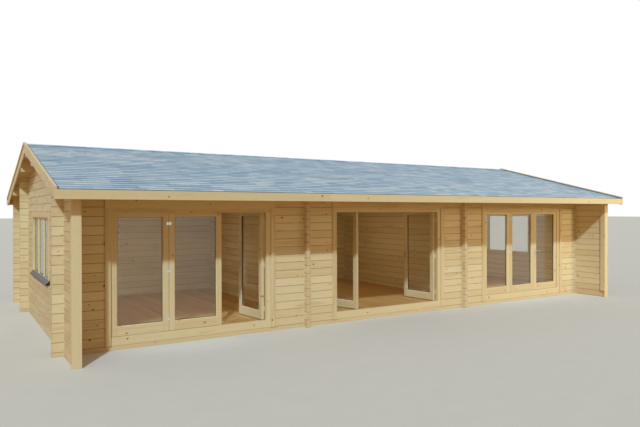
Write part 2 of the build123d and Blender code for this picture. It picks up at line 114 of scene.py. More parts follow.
class Shader:
    """The node tree of one material."""

    def __init__(self, name):
        self.material = bpy.data.materials.new(name)
        self.material.use_nodes = True
        self.tree = self.material.node_tree
        self.surface = self.tree.nodes["Principled BSDF"]
        self.output = self.tree.nodes["Material Output"]

    def feed(self, socket, value):
        if isinstance(value, bpy.types.NodeSocket):
            self.tree.links.new(value, socket)
        else:
            socket.default_value = value

    def node(self, kind, feeds=(), **settings):
        made = self.tree.nodes.new(kind)
        for key, value in settings.items():
            setattr(made, key, value)
        for key, value in dict(feeds).items():
            self.feed(made.inputs[key], value)
        return made

    def math(self, operation, *values):
        return self.node("ShaderNodeMath", enumerate(values), operation=operation).outputs[0]

    def join(self, x, y, z):
        return self.node("ShaderNodeCombineXYZ", {"X": x, "Y": y, "Z": z}).outputs[0]

    def split(self, vector):
        return self.node("ShaderNodeSeparateXYZ", {"Vector": vector}).outputs

    def stretch(self, vector, scale):
        feeds = {0: vector, 1: scale}
        return self.node("ShaderNodeVectorMath", feeds, operation="MULTIPLY").outputs[0]

    def noise(self, vector, scale=1.0, detail=2.0, rough=0.5):
        feeds = {"Vector": vector, "Scale": scale, "Detail": detail, "Roughness": rough}
        return self.node("ShaderNodeTexNoise", feeds).outputs["Fac"]

    def between(self, value, low, high, to_low=0.0, to_high=1.0):
        """Smoothly takes value from low..high to to_low..to_high."""
        feeds = {"Value": value, "From Min": low, "From Max": high, "To Min": to_low, "To Max": to_high}
        made = self.node("ShaderNodeMapRange", feeds, interpolation_type="SMOOTHSTEP")
        return made.outputs["Result"]

    def mix(self, factor, first, second):
        """Mixes two colours, which go to sockets 6 and 7."""
        feeds = {"Factor": factor, 6: first, 7: second}
        return self.node("ShaderNodeMix", feeds, data_type="RGBA").outputs[2]

    def place(self):
        return self.node("ShaderNodeTexCoord").outputs["Object"]

    def draw(self, x, y):
        """A number from 0 to 1 of its own for each x and y."""
        feeds = {"Vector": self.join(x, y, 0.0)}
        return self.node("ShaderNodeTexWhiteNoise", feeds, noise_dimensions="2D").outputs["Value"]

    def cut_end(self, axis):
        """1 on the faces that look along an axis, and 0 elsewhere."""
        normal = self.split(self.node("ShaderNodeNewGeometry").outputs["True Normal"])
        return self.math("GREATER_THAN", self.math("ABSOLUTE", normal[axis]), 0.9)

    def attribute(self, name, output="Fac"):
        return self.node("ShaderNodeAttribute", attribute_name=name).outputs[output]

    def finish(self, colour, roughness, height=None, depth=0.001, strength=0.5):
        self.feed(self.surface.inputs["Base Color"], colour)
        self.feed(self.surface.inputs["Roughness"], roughness)
        if height is not None:
            feeds = {"Height": height, "Distance": depth, "Strength": strength}
            bump = self.node("ShaderNodeBump", feeds)
            self.feed(self.surface.inputs["Normal"], bump.outputs["Normal"])
        return self.material


def colour(red, green, blue):
    """A screen colour of 0 to 255 as the linear colour that a shader takes."""

    def linear(value):
        value /= 255
        return value / 12.92 if value <= 0.04045 else ((value + 0.055) / 1.055) ** 2.4

    return (linear(red), linear(green), linear(blue), 1.0)


PALE = colour(240, 227, 188)
MID = colour(233, 217, 176)
WARM = colour(220, 200, 154)
LATE = colour(194, 158, 106)
HALO = colour(190, 138, 80)
KNOT = colour(118, 74, 44)
END_LIGHT = colour(232, 214, 178)
END_DARK = colour(206, 176, 134)
# Colour of the painted shade in the joints between logs
JOINT_SHADE = colour(122, 84, 48)

KNOT_PITCH = 0.42
KNOT_ROW = 0.11
RING = 0.0085


def wood(shader, vector, chance, end, dark=None, knots=0.22, tint=(PALE, MID, WARM)):
    """Pine with grain along the vector's first axis, knots, rings on cut ends,
    a tone of its own for each chance and, where dark is given, painted shade."""
    s = shader
    along, across, through = s.split(vector)
    shift = s.math("MULTIPLY", chance, 37.0)
    along = s.math("ADD", along, shift)
    aside = s.math("MULTIPLY", chance, 3.1)
    across = s.math("ADD", across, aside)
    moved = s.join(along, across, through)

    cell_along = s.math("DIVIDE", along, KNOT_PITCH)
    slanted = s.math("MULTIPLY_ADD", through, 0.35, across)
    cell_across = s.math("DIVIDE", slanted, KNOT_ROW)
    cells = s.node(
        "ShaderNodeTexVoronoi",
        {"Vector": s.join(cell_along, cell_across, 0.0), "Scale": 1.0, "Randomness": 0.95},
        voronoi_dimensions="2D",
    )
    centre = s.split(cells.outputs["Position"])
    draw = s.node("ShaderNodeSeparateColor", {"Color": cells.outputs["Color"]}).outputs
    away_along = s.math("MULTIPLY", s.math("SUBTRACT", centre[0], cell_along), KNOT_PITCH)
    away_across = s.math("MULTIPLY", s.math("SUBTRACT", centre[1], cell_across), KNOT_ROW * 1.25)
    squares = s.math("MULTIPLY_ADD", away_along, away_along, s.math("POWER", away_across, 2.0))
    away = s.math("SQRT", squares)
    present = s.math("LESS_THAN", draw[0], knots)
    size = s.math("MULTIPLY_ADD", draw[1], 0.008, 0.005)
    ratio = s.math("DIVIDE", away, size)
    core = s.math("MULTIPLY", present, s.between(ratio, 0.7, 1.15, 1.0, 0.0))
    halo = s.math("MULTIPLY", present, s.between(ratio, 0.8, 3.2, 1.0, 0.0))

    wobble = s.noise(s.stretch(moved, (0.9, 7.0, 7.0)), 1.0, 2.0)
    pith = s.math("MULTIPLY_ADD", chance, 0.09, -0.045)
    side = s.math("SUBTRACT", s.math("SUBTRACT", across, aside), pith)
    side = s.math("PINGPONG", side, COURSE)
    squares = s.math("POWER", s.math("ADD", through, 0.04), 2.0)
    radius = s.math("SQRT", s.math("MULTIPLY_ADD", side, side, squares))
    radius = s.math("MULTIPLY_ADD", wobble, 0.03, radius)
    radius = s.math("MULTIPLY_ADD", halo, 0.008, radius)
    ring = s.math("PINGPONG", s.math("DIVIDE", radius, RING), 1.0)
    late = s.between(ring, 0.55, 0.98)
    fibre = s.noise(s.stretch(moved, (7.0, 260.0, 260.0)), 1.0, 3.0)
    streak = s.noise(s.stretch(moved, (1.1, 26.0, 26.0)), 1.0, 3.0, 0.6)

    tone = s.math("MULTIPLY_ADD", chance, 0.44, s.math("MULTIPLY_ADD", streak, 0.42, 0.09))
    base = s.node("ShaderNodeValToRGB", {"Fac": tone})
    stops = base.color_ramp.elements
    stops[0].position, stops[0].color = 0.12, tint[0]
    stops[1].position, stops[1].color = 0.88, tint[2]
    middle = stops.new(0.5)
    middle.color = tint[1]
    shade = s.mix(s.math("MULTIPLY", late, 0.34), base.outputs["Color"], LATE)
    shade = s.mix(s.between(fibre, 0.35, 0.8, 0.0, 0.22), shade, LATE)
    shade = s.mix(s.math("MULTIPLY", halo, 0.55), shade, HALO)
    end_shade = s.mix(late, END_LIGHT, END_DARK)
    end_shade = s.mix(s.between(streak, 0.3, 0.75, 0.0, 0.5), end_shade, END_DARK)
    shade = s.mix(end, shade, end_shade)
    shade = s.mix(core, shade, KNOT)
    height = s.math("MULTIPLY_ADD", late, 0.35, s.math("MULTIPLY", fibre, 0.5))
    height = s.math("MULTIPLY_ADD", core, -0.6, height)
    # Painted shade: the dark mask darkens the gaps between logs, standing in for the shade in the grooves
    if dark is not None:
        shade = s.mix(s.math("MULTIPLY", dark, 0.6), shade, JOINT_SHADE)
    rough = s.math("MULTIPLY_ADD", late, -0.12, s.math("MULTIPLY_ADD", streak, 0.16, 0.56))
    s.surface.inputs["Specular IOR Level"].default_value = 0.35
    return s.finish(shade, rough, height, 0.0012, 0.55)


def log_wood(name, axis, first_joint, **options):
    """Pine for a stack of logs that run along X or Y, read from the place."""
    s = Shader(name)
    place = s.split(s.place())
    along, beside = place[axis], place[1 - axis]
    level = s.math("DIVIDE", s.math("SUBTRACT", place[Z], first_joint), COURSE)
    course = s.math("FLOOR", level)
    wall = s.math("FLOOR", s.math("MULTIPLY", beside, 1.7))
    # Painted shade along each joint between courses, where the groove lies in shade
    from_joint = s.math("ABSOLUTE", s.math("SUBTRACT", level, s.math("ROUND", level)))
    dark = s.between(from_joint, 0.006 / COURSE, 0.0025 / COURSE)
    vector = s.join(along, place[Z], beside)
    return wood(s, vector, s.draw(course, wall), s.cut_end(axis), dark, **options)


def board_wood(name, **options):
    """Pine for boards that carry their own grain."""
    s = Shader(name)
    vector = s.attribute("grain", "Vector")
    return wood(s, vector, s.attribute("chance"), s.attribute("end"), **options)


def placed_wood(name, axis, **options):
    """Pine for one long board along an axis, read from the place."""
    s = Shader(name)
    place = s.split(s.place())
    along, beside, through = (place[(axis + n) % 3] for n in range(3))
    row = s.math("FLOOR", s.math("MULTIPLY", beside, 1.3))
    chance = s.draw(row, s.math("SIGN", through))
    return wood(s, s.join(along, beside, through), chance, s.cut_end(axis), **options)


def shingle_material():
    s = Shader("shingle")
    place = s.place()
    tone = s.attribute("chance")
    grit = s.noise(place, 900.0, 2.0)
    patch = s.noise(s.stretch(place, (2.6, 24.0, 24.0)), 1.0, 3.0)
    wide = s.noise(place, 0.35, 2.0)
    level = s.math("MULTIPLY_ADD", tone, 0.42, s.math("MULTIPLY", patch, 0.5))
    level = s.math("MULTIPLY_ADD", wide, 0.22, level)
    ramp = s.node("ShaderNodeValToRGB", {"Fac": level})
    stops = ramp.color_ramp.elements
    stops[0].position, stops[0].color = 0.28, colour(99, 147, 182)
    stops[1].position, stops[1].color = 0.92, colour(220, 228, 233)
    for position, shade in ((0.48, colour(129, 172, 202)), (0.7, colour(167, 197, 218))):
        stops.new(position).color = shade
    shade = s.mix(s.between(grit, 0.3, 0.75, 0.0, 0.28), ramp.outputs["Color"], colour(84, 108, 130))
    worn = s.noise(s.stretch(place, (0.55, 2.4, 2.4)), 1.0, 3.0)
    shade = s.mix(s.between(worn, 0.54, 0.7, 0.0, 0.5), shade, colour(204, 208, 216))
    butt = s.attribute("end")
    shade = s.mix(s.math("MULTIPLY", butt, 0.6), shade, colour(58, 70, 82))
    rough = s.math("MULTIPLY_ADD", grit, 0.12, 0.3)
    return s.finish(shade, rough, grit, 0.001, 0.2)


def metal(name, shade, roughness):
    s = Shader(name)
    place = s.place()
    brushed = s.noise(s.stretch(place, (40.0, 40.0, 900.0)), 1.0, 3.0)
    stain = s.noise(place, 14.0, 3.0)
    darker = tuple(part * 0.7 for part in shade[:3]) + (1,)
    tone = s.mix(s.between(stain, 0.35, 0.75, 0.0, 0.25), shade, darker)
    s.surface.inputs["Metallic"].default_value = 1.0
    rough = s.math("MULTIPLY_ADD", brushed, 0.12, roughness)
    return s.finish(tone, rough, brushed, 0.0003, 0.25)


def dark_sill_material():
    s = Shader("dark_sill")
    place = s.place()
    dust = s.noise(s.stretch(place, (9.0, 2.5, 9.0)), 1.0, 4.0)
    speck = s.noise(place, 420.0, 1.0)
    shade = s.mix(s.between(dust, 0.45, 0.8, 0.0, 0.3), colour(34, 30, 28), colour(66, 61, 57))
    s.surface.inputs["Metallic"].default_value = 0.1
    return s.finish(shade, s.math("MULTIPLY_ADD", dust, 0.2, 0.32), speck, 0.0004, 0.2)


def grained(name, scale, dark, light, rough, depth, strength):
    """A dull dark stuff with a fine grain."""
    s = Shader(name)
    grain = s.noise(s.place(), scale, 2.0)
    shade = s.mix(grain, dark, light)
    return s.finish(shade, s.math("MULTIPLY_ADD", grain, 0.2, rough), grain, depth, strength)


def glass_material():
    s = Shader("glass")
    place = s.place()
    haze = s.noise(place, 3.0, 3.0)
    s.surface.inputs["Transmission Weight"].default_value = 1.0
    s.surface.inputs["IOR"].default_value = 1.45
    tinted = s.mix(haze, colour(254, 254, 253), colour(251, 251, 250))
    s.finish(tinted, s.between(haze, 0.4, 0.9, 0.0, 0.03))
    clear = s.node("ShaderNodeBsdfTransparent", {"Color": colour(250, 252, 251)})
    shadow = s.node("ShaderNodeLightPath").outputs["Is Shadow Ray"]
    both = s.node("ShaderNodeMixShader", {0: shadow, 1: s.surface.outputs[0], 2: clear.outputs[0]})
    s.feed(s.output.inputs["Surface"], both.outputs[0])
    return s.material


def corner(axis, end, *others):
    """A corner of a box by its end on an axis, and on the two axes that follow."""
    found = [0, 0, 0]
    for n, value in enumerate((end, *others)):
        found[(axis + n) % 3] = value
    return tuple(found)


class Boards:
    """Collects solids into one mesh whose points know their grain."""

    def __init__(self):
        self.points, self.faces = [], []
        self.grain, self.chance, self.end = [], [], []

    def add(self, points, faces, grain_axis, matrix=None, chance=None, end_faces=None):
        """Adds points given in a frame of their own, where the grain is read: first
        along the grain axis, then across the wider side."""
        start = len(self.points)
        chance = random.random() if chance is None else chance
        axes = list(zip(*points))
        spans = [max(axis) - min(axis) for axis in axes]
        order = sorted(range(3), key=lambda n: -spans[n] if n != grain_axis else -math.inf)
        for point in points:
            point = Vector(point)
            self.grain.append([point[n] for n in order])
            self.points.append(matrix @ point if matrix else point)
        self.chance += [chance] * len(points)
        for face in faces:
            corners = [Vector(points[n]) for n in face]
            normal = (corners[1] - corners[0]).cross(corners[2] - corners[1])
            is_end = normal.length > 0 and abs(normal.normalized()[grain_axis]) > 0.8
            self.end.append(float(is_end if end_faces is None else end_faces))
            self.faces.append([start + n for n in face])

    def board(self, low, high, grain_axis, matrix=None, bevel=0.0015, chance=None):
        """A box with its edges and corners taken off."""
        index, points = {}, []
        corners = list(itertools.product((0, 1), repeat=3))
        for ends in corners:
            for axis in range(3):
                index[axis, ends] = len(points)
                inset = [0 if n == axis else bevel * (1 - 2 * ends[n]) for n in range(3)]
                points.append([(low, high)[ends[n]][n] + inset[n] for n in range(3)])
        faces = [[index[axis, ends] for axis in range(3)] for ends in corners]
        for axis in range(3):
            one, two = (axis + 1) % 3, (axis + 2) % 3
            for sides in itertools.product((0, 1), repeat=2):
                near, far = corner(axis, 0, *sides), corner(axis, 1, *sides)
                faces.append([index[one, near], index[one, far], index[two, far], index[two, near]])
            for end in (0, 1):
                ring = ((0, 0), (1, 0), (1, 1), (0, 1))
                faces.append([index[axis, corner(axis, end, *sides)] for sides in ring])
        self.add(points, faces, grain_axis, matrix, chance)

    def prism(self, outline, low, high, grain_axis, matrix=None):
        """Extrudes an outline in the local XY plane from low to high along Z."""
        count = len(outline)
        points = [(x, y, low) for x, y in outline] + [(x, y, high) for x, y in outline]
        faces = [list(range(count)), list(range(count, 2 * count))]
        for n in range(count):
            after = (n + 1) % count
            faces.append([n, after, after + count, n + count])
        self.add(points, faces, grain_axis, matrix)

    def piece(self, name, material, slot=None, body="cabin", replaces=(), smooth=None):
        mesh = bpy.data.meshes.new(name)
        mesh.from_pydata(self.points, [], self.faces)
        work = bmesh.new()
        work.from_mesh(mesh)
        bmesh.ops.recalc_face_normals(work, faces=work.faces)
        work.to_mesh(mesh)
        work.free()
        grain = mesh.attributes.new("grain", "FLOAT_VECTOR", "POINT")
        grain.data.foreach_set("vector", [n for point in self.grain for n in point])
        chance = mesh.attributes.new("chance", "FLOAT", "POINT")
        chance.data.foreach_set("value", self.chance)
        end = mesh.attributes.new("end", "FLOAT", "FACE")
        end.data.foreach_set("value", self.end)
        if smooth is not None:
            for face in mesh.polygons:
                face.use_smooth = True
            mesh.set_sharp_from_angle(angle=math.radians(smooth))
        mesh.materials.append(material)
        made = bpy.data.objects.new(name, mesh)
        bpy.context.scene.collection.objects.link(made)
        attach(made, body)
        if replaces:
            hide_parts(*replaces)


# How a tube's ends are rounded: lift and width of each ring, as shares of the radius
ROUND_END = ((0.0, 0.55), (0.12, 0.85), (0.35, 1.0))
SCREW_SUNK = 0.002
ROUND_HEAD = (0.0004, 0.0012)
FLAT_HEAD = (0.0003, 0.0009)
OUTWARD = (0, 0, 1)


def tube(boards, path, radius, matrix=None, sides=16):
    """Sweeps a circle along a path, with its ends rounded over."""
    path = [Vector(point) for point in path]
    first = (path[1] - path[0]).normalized()
    last = (path[-1] - path[-2]).normalized()
    rings = [(path[0] + first * radius * lift, first, share * radius) for lift, share in ROUND_END]
    for before, point, after in zip(path, path[1:], path[2:]):
        direction = (after - point).normalized() + (point - before).normalized()
        rings.append((point, direction.normalized(), radius))
    for lift, share in reversed(ROUND_END):
        rings.append((path[-1] - last * radius * lift, last, share * radius))
    points, faces = [], []
    up = Vector((0, 1, 0)) if abs(first.y) < 0.9 else Vector((1, 0, 0))
    for centre, direction, size in rings:
        aside = direction.cross(up).normalized()
        up = aside.cross(direction).normalized()
        for n in range(sides):
            angle = 2 * math.pi * n / sides
            points.append(centre + (aside * math.cos(angle) + up * math.sin(angle)) * size)
    for ring in range(len(rings) - 1):
        for n in range(sides):
            after = (n + 1) % sides
            low, high = ring * sides, (ring + 1) * sides
            faces.append([low + n, low + after, high + after, high + n])
    faces.append(list(range(sides)))
    faces.append(list(range(len(points) - sides, len(points))))
    boards.add(points, faces, Z, matrix)


def screw(boards, place, out, radius=0.0042, matrix=None, rises=ROUND_HEAD, sides=10):
    """A small domed screw head on a face whose outward direction is given."""
    place, out = Vector(place), Vector(out)
    path = [place - out * SCREW_SUNK] + [place + out * rise for rise in rises]
    tube(boards, path, radius, matrix, sides)


# Materials

TRIM_TINT = (colour(238, 225, 186), colour(231, 215, 172), colour(222, 202, 156))
FLOOR_TINT = (colour(214, 176, 118), colour(198, 154, 94), colour(180, 132, 74))

pine_long = log_wood("pine_long_walls", X, LONG_JOINT)
pine_cross = log_wood("pine_cross_walls", Y, CROSS_JOINT)
pine_board = board_wood("pine_boards")
pine_trim = board_wood("pine_trim", knots=0.2, tint=TRIM_TINT)
pine_purlin = placed_wood("pine_purlins", X)
pine_post = placed_wood("pine_posts", Z, knots=0.12, tint=TRIM_TINT)
floor_wood = board_wood("floor_wood", knots=0.35, tint=FLOOR_TINT)
shingle = shingle_material()
steel = metal("steel_satin", colour(226, 224, 218), 0.26)
dark_metal = metal("steel_dark", colour(92, 90, 86), 0.4)
sill_paint = dark_sill_material()
# Painted shade: a dark strip along each verge stands in for the shadow line that the raised verge casts on
# the shingles
verge_shade = grained("verge_painted_shade", 700.0, colour(50, 62, 76), colour(92, 106, 122), 0.7, 0.001, 0.4)
rubber = grained("gasket_rubber", 160.0, colour(22, 22, 22), colour(46, 44, 42), 0.6, 0.0005, 0.3)
glass = glass_material()

for material, nodes in (
    (pine_long, ("front_sill_log", "front_wall", "front_header", "back_wall", "inner_wall")),
    (pine_cross, ("end_wall_left", "end_wall_right", "gable_left", "gable_right")),
    (pine_cross, ("partition_left", "partition_right")),
    (pine_purlin, ("purlins",)),
    (pine_post, ("wing_posts",)),
):
    for node in nodes:
        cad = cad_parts[node]
        cad.data.materials.clear()
        cad.data.materials.append(material)

# Roof covering and deck


def slope_frame(side, drop=0.0):
    """Frame of a roof slope, with its origin at the eave: local X runs along
    the roof, Y up the slope and Z out of it. A drop lowers it into the roof."""
    turn = Matrix.Rotation(SLOPE_ANGLE, 4, "X")
    if side > 0:
        turn = Matrix.Rotation(math.pi, 4, "Z") @ turn
    origin = Vector((0, side * EAVE_Y, RIDGE_Z - SLOPE * EAVE_Y))
    lower = Vector((0, side * math.sin(SLOPE_ANGLE), math.cos(SLOPE_ANGLE))) * drop
    return Matrix.Translation(origin - lower) @ turn


SLOPES = (("front", -1), ("back", 1))
SHINGLE_ROWS = 27
EXPOSURE = ROOF_LENGTH / SHINGLE_ROWS
BUTT = 0.005
UNDERLAY = 0.002
SLOT = 0.003
TAB_LAP = 0.004
TAB_WIDTHS = (0.14, 0.42)
SHORTEST_TAB = 0.12
TAB_LIFT = 0.0012

for name, side in SLOPES:
    slope = slope_frame(side)
    tabs = Boards()
    for row in range(SHINGLE_ROWS):
        low, high = row * EXPOSURE, min((row + 1) * EXPOSURE + TAB_LAP, ROOF_LENGTH)
        x = -SHINGLE_X
        while x < SHINGLE_X - 0.001:
            width = random.uniform(*TAB_WIDTHS)
            if SHINGLE_X - x - width < SHORTEST_TAB:
                width = SHINGLE_X - x
            left, right = x + SLOT / 2, min(x + width, SHINGLE_X) - SLOT / 2
            lift = random.uniform(0, TAB_LIFT)
            outline = [(low, -lift), (high, -BUTT), (high, UNDERLAY - 2 * BUTT), (low, -BUTT)]
            points = [(left, y, z) for y, z in outline] + [(right, y, z) for y, z in outline]
            faces = [[0, 1, 5, 4], [1, 2, 6, 5], [2, 3, 7, 6], [0, 1, 2, 3], [4, 5, 6, 7]]
            tone = random.random()
            tabs.add(points, faces, X, slope, tone, 0.0)
            tabs.add(points, [[3, 0, 4, 7]], X, slope, tone, 1.0)
            x += width
    low = (-SHINGLE_X, 0, -2 * BUTT)
    high = (SHINGLE_X, ROOF_LENGTH, -2 * BUTT + UNDERLAY)
    tabs.board(low, high, X, slope, bevel=0.0002, chance=0.0)
    tabs.piece(f"shingle_tabs_{name}", shingle, "shingle", replaces=(f"shingles_{name}",))

# The ridge is capped by short lapped pieces, each folded over both slopes
CAP_WIDTH = 0.125
CAP_THICKNESS = 0.006
CAP_EXPOSURE = 0.145
CAP_LAP = 0.01
CAP_BEND = 0.35
CAP_THIN_END = 0.55
cap_drop = CAP_WIDTH * math.sin(SLOPE_ANGLE)
cap_reach = CAP_WIDTH * math.cos(SLOPE_ANGLE)
cap_rise = CAP_THICKNESS * SLOPE_FACTOR
caps = Boards()
x = -SHINGLE_X
while x < SHINGLE_X - CAP_LAP:
    end = min(x + CAP_EXPOSURE + CAP_LAP, SHINGLE_X)
    tone = random.random()
    for side in (-1, 1):
        points = []
        for place, share in ((x, CAP_THIN_END), (end, 1.0)):
            for part in (0, CAP_BEND, 1):
                y, z = side * part * cap_reach, RIDGE_Z - part * cap_drop
                points += [(place, y, z), (place, y, z + cap_rise * share)]
        faces = [[0, 1, 3, 2], [2, 3, 5, 4], [6, 7, 9, 8], [8, 9, 11, 10]]
        faces += [[1, 3, 9, 7], [3, 5, 11, 9], [0, 2, 8, 6], [2, 4, 10, 8], [4, 5, 11, 10]]
        caps.add(points, faces, X, None, tone, 0.0)
    x += CAP_EXPOSURE
caps.piece("ridge_caps", shingle, "shingle", replaces=("ridge_cap",))

# Dark strips along both verges of each slope: painted shade for the shadow line of the raised verge on the
# shingles
FILLET = 0.024
FILLET_TOP = 0.009
shade_strips = Boards()
for side in (-1, 1):
    slope = slope_frame(side)
    for low, high in ((-SHINGLE_X, FILLET - SHINGLE_X), (SHINGLE_X - FILLET, SHINGLE_X)):
        shade_strips.board((low, 0.002, -0.001), (high, ROOF_LENGTH - 0.004, FILLET_TOP), Y, slope, bevel=0.002)
shade_strips.piece("verge_shade_strips", verge_shade)

DECK_BOARD = 0.0935
DECK_THICKNESS = 0.019
DECK_VEE = 0.0035
BOARD_SLIT = 0.0006
count = round(2 * DECK_X / DECK_BOARD)
pitch = 2 * DECK_X / count
deck_start = ROOF_LENGTH - DECK_LENGTH + 0.002
deck_end = ROOF_LENGTH - (SHINGLE + DECK_THICKNESS) * SLOPE
for name, side in SLOPES:
    slope = slope_frame(side, SHINGLE)
    deck = Boards()
    for n in range(count):
        x = -DECK_X + n * pitch
        low = (x + BOARD_SLIT, deck_start, -DECK_THICKNESS)
        high = (x + pitch - BOARD_SLIT, deck_end, 0)
        deck.board(low, high, Y, slope, bevel=DECK_VEE)
    deck.piece(f"roof_deck_{name}", pine_board, "pine", replaces=(f"roof_boards_{name}",))

# Fascias and bargeboards

FASCIA = 0.020
FASCIA_HEIGHT = 0.128
BARGE = 0.018
BARGE_DEPTH = 0.185
STRIP_DEPTH = 0.040
VERGE_X = 6.355
VERGE_RISE = 0.030
RIDGE_SLIT = 0.0004
FASCIA_JOINTS = (-VERGE_X, -2.16, 2.04, VERGE_X)
trim = Boards()
fascia_top = RIDGE_Z - SLOPE * EAVE_Y - SHINGLE_PLUMB
for side in (-1, 1):
    near, far = sorted((side * EAVE_Y, side * (EAVE_Y - FASCIA)))
    for left, right in zip(FASCIA_JOINTS, FASCIA_JOINTS[1:]):
        low = (left + BOARD_SLIT, near, fascia_top - FASCIA_HEIGHT)
        high = (right - BOARD_SLIT, far, fascia_top)
        trim.board(low, high, X, bevel=0.0025)
trim.piece("fascia_boards", pine_trim, "pine", replaces=("fascias",))


def rake_outline(side, depth):
    """A sloping band in the plane of a gable, plumb cut at the ridge, with its
    top carried on over the fascia."""
    reach = EAVE_Y - FASCIA
    drop = depth * SLOPE_FACTOR - VERGE_RISE
    return [
        (RIDGE_SLIT * side, RIDGE_Z + VERGE_RISE),
        (side * EAVE_Y, RIDGE_Z - SLOPE * EAVE_Y + VERGE_RISE),
        (side * EAVE_Y, RIDGE_Z - SLOPE * EAVE_Y - SHINGLE_PLUMB),
        (side * reach, RIDGE_Z - SLOPE * reach - SHINGLE_PLUMB),
        (side * reach, RIDGE_Z - SLOPE * reach - drop),
        (RIDGE_SLIT * side, RIDGE_Z - drop),
    ]


barge = Boards()
gable_plane = Matrix(((0, 0, 1, 0), (1, 0, 0, 0), (0, 1, 0, 0), (0, 0, 0, 1)))
for sign in (-1, 1):
    for side in (-1, 1):
        for inner, outer, depth in (
            (DECK_X, DECK_X + BARGE, BARGE_DEPTH),
            (DECK_X + BARGE, VERGE_X, STRIP_DEPTH),
        ):
            faces = sorted((sign * inner, sign * outer))
            barge.prism(rake_outline(side, depth), faces[0], faces[1], X, gable_plane)
barge.piece("barge_boards", pine_trim, "pine", replaces=("bargeboards",))

# Floor boards on joists, one deck in each room

FLOOR_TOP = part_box("floor")[1].z
FLOOR_THICKNESS = 0.028
FLOOR_BOARD = 0.12
FLOOR_SLIT = 0.0004
JOIST = 0.07
JOIST_SPACING = 0.6
PARTITION_X = 2.0
inner_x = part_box("floor")[1].x
rear_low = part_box("inner_wall")[1].y
rear_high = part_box("floor")[1].y
front_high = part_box("inner_wall")[0].y
beside_low, beside_high = PARTITION_X - LOG / 2, PARTITION_X + LOG / 2
decks = []
for left, right in ((-inner_x, -beside_high), (-beside_low, beside_low), (beside_high, inner_x)):
    decks.append((left, right, WALL_INNER_Y, front_high))
decks.append((-inner_x, inner_x, rear_low, rear_high))
flooring = Boards()
joists = Boards()
joist_top = FLOOR_TOP - FLOOR_THICKNESS
for left, right, near, far in decks:
    count = round((right - left) / FLOOR_BOARD)
    pitch = (right - left) / count
    for n in range(count):
        x = left + n * pitch
        low = (x + FLOOR_SLIT, near, joist_top)
        high = (x + pitch - FLOOR_SLIT, far, FLOOR_TOP)
        flooring.board(low, high, Y, bevel=0.0014)
    gaps = math.ceil((far - near - JOIST) / JOIST_SPACING)
    step = (far - near - JOIST) / gaps
    for n in range(gaps + 1):
        y = near + n * step
        joists.board((left, y, 0), (right, y + JOIST, joist_top), X, bevel=0.002)
flooring.piece("floor_planks", floor_wood, "floor_boards", replaces=("floor",))
joists.piece("floor_joists", pine_board, "pine")

# Door frames

LEFT_JAMB = 0.06
RIGHT_JAMB = 0.11
RIGHT_JAMB_SHOWN = 0.085
SILL_LOW = 0.07
SILL_TOP = 0.2
CLEAR_TOP = 2.08
HEAD_TOP = 2.17
COVER = 0.022
COVER_WIDTH = 0.085
COVER_TOP = 2.16
HEAD_BOARD_TOP = 2.29
COVER_SCREWS = (0.16, 0.56, 0.96, 1.36, 1.76, 2.1)
HEAD_SCREWS = 8
HEAD_SCREW_INSET = 0.06
HEAD_SCREW_Z = 2.225
INNER_COVER = 0.015
INNER_COVER_WIDTH = 0.07
INNER_COVER_SETBACK = 0.025
INNER_COVER_TOP = 2.105
frame_screws = Boards()
for side, (left, right) in CLEAR.items():
    outer_left, outer_right = left - LEFT_JAMB, right + RIGHT_JAMB
    set_frame = Boards()
    for x_range, z_range, grain_axis, bevel in (
        ((outer_left, left), (SILL_TOP, CLEAR_TOP), Z, 0.0015),
        ((right, outer_right), (SILL_TOP, CLEAR_TOP), Z, 0.0015),
        ((outer_left, outer_right), (CLEAR_TOP, HEAD_TOP), X, 0.0015),
        ((outer_left, outer_right), (SILL_LOW, SILL_TOP), X, 0.002),
    ):
        low = (x_range[0], FRONT_Y, z_range[0])
        high = (x_range[1], WALL_INNER_Y, z_range[1])
        set_frame.board(low, high, grain_axis, bevel=bevel)
    cover_y = FRONT_Y - COVER
    right_edge = right + RIGHT_JAMB_SHOWN
    for low_x, high_x in ((left - COVER_WIDTH, left), (right_edge, right_edge + COVER_WIDTH)):
        set_frame.board((low_x, cover_y, SILL_LOW), (high_x, FRONT_Y, COVER_TOP), Z, bevel=0.003)
        for z in COVER_SCREWS:
            screw(frame_screws, ((low_x + high_x) / 2, cover_y, z), (0, -1, 0))
    low_x, high_x = left - COVER_WIDTH, right_edge + COVER_WIDTH
    set_frame.board((low_x, cover_y, COVER_TOP), (high_x, FRONT_Y, HEAD_BOARD_TOP), X, bevel=0.003)
    for n in range(HEAD_SCREWS):
        spread = high_x - low_x - 2 * HEAD_SCREW_INSET
        x = low_x + HEAD_SCREW_INSET + n * spread / (HEAD_SCREWS - 1)
        screw(frame_screws, (x, cover_y, HEAD_SCREW_Z), (0, -1, 0))
    inner_y = WALL_INNER_Y + INNER_COVER
    left_edge = left - INNER_COVER_SETBACK - INNER_COVER_WIDTH
    right_edge = right + INNER_COVER_SETBACK
    for low_x in (left_edge, right_edge):
        low = (low_x, WALL_INNER_Y, FLOOR_TOP)
        high = (low_x + INNER_COVER_WIDTH, inner_y, INNER_COVER_TOP)
        set_frame.board(low, high, Z, bevel=0.002)
    low = (left_edge, WALL_INNER_Y, INNER_COVER_TOP)
    high = (right_edge + INNER_COVER_WIDTH, inner_y, HEAD_TOP)
    set_frame.board(low, high, X, bevel=0.002)
    set_frame.piece(f"door_set_frame_{side}", pine_trim, "pine", replaces=(f"door_frame_{side}",))
frame_screws.piece("frame_screws", steel, "hinge_metal", smooth=40)

# Door leaves


